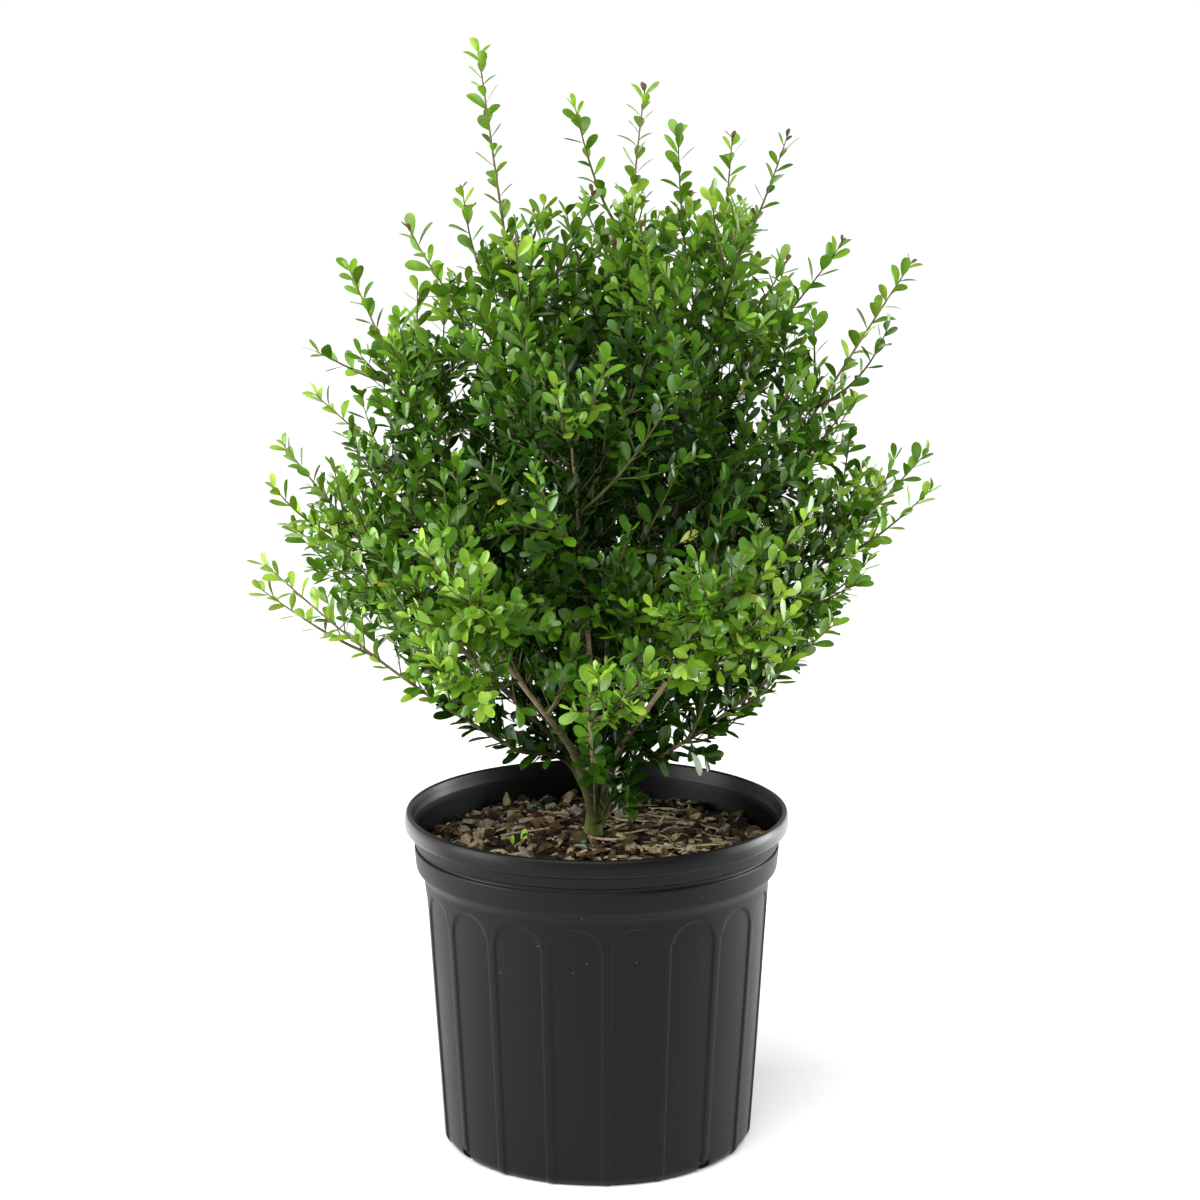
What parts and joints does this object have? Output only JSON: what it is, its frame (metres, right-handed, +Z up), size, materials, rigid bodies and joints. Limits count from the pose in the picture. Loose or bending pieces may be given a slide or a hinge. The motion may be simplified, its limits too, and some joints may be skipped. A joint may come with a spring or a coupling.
{
  "type": "potted japanese holly",
  "caption": "Rounded small-leaved evergreen shrub with upright shoot tips on a short forking trunk, in a round ribbed nursery pot filled with bark mix",
  "frame": {"origin": "centre of the pot's flat underside, at the level it stands on", "axes": "+Z up along the pot's axis, -Y towards the front seen in the picture, +X to the right of that view"},
  "size_m": [0.473, 0.444, 0.799],
  "materials": {
    "pot_plastic": "satin black, lightly dusty",
    "bark_mix": "rough, damp bark chips",
    "bark": "matt grey-brown bark",
    "leaves": "glossy green leaves on thin twigs"
  },
  "bodies": {
    "root": {"pot": "pot_plastic", "potting_mix": "bark_mix", "trunk": "bark", "bough_low_left": "bark", "bough_low_front": "bark", "bough_low_right": "bark", "bough_low_back": "bark", "bough_left": "bark", "bough_front_left": "bark", "bough_front_right": "bark", "bough_right": "bark", "bough_back_right": "bark", "bough_back_left": "bark", "bough_upper_left": "bark", "bough_upper_front": "bark", "bough_upper_right": "bark", "bough_upper_back": "bark", "bough_top_left": "bark", "bough_top_back": "bark", "bough_top_right": "bark", "foliage_low_left": "leaves", "foliage_low_front": "leaves", "foliage_low_right": "leaves", "foliage_low_back": "leaves", "foliage_left": "leaves", "foliage_front_left": "leaves", "foliage_front_right": "leaves", "foliage_right": "leaves", "foliage_back_right": "leaves", "foliage_back_left": "leaves", "foliage_upper_left": "leaves", "foliage_upper_front": "leaves", "foliage_upper_right": "leaves", "foliage_upper_back": "leaves", "foliage_top_left": "leaves", "foliage_top_back": "leaves", "foliage_top_right": "leaves"}
  },
  "joints": []
}
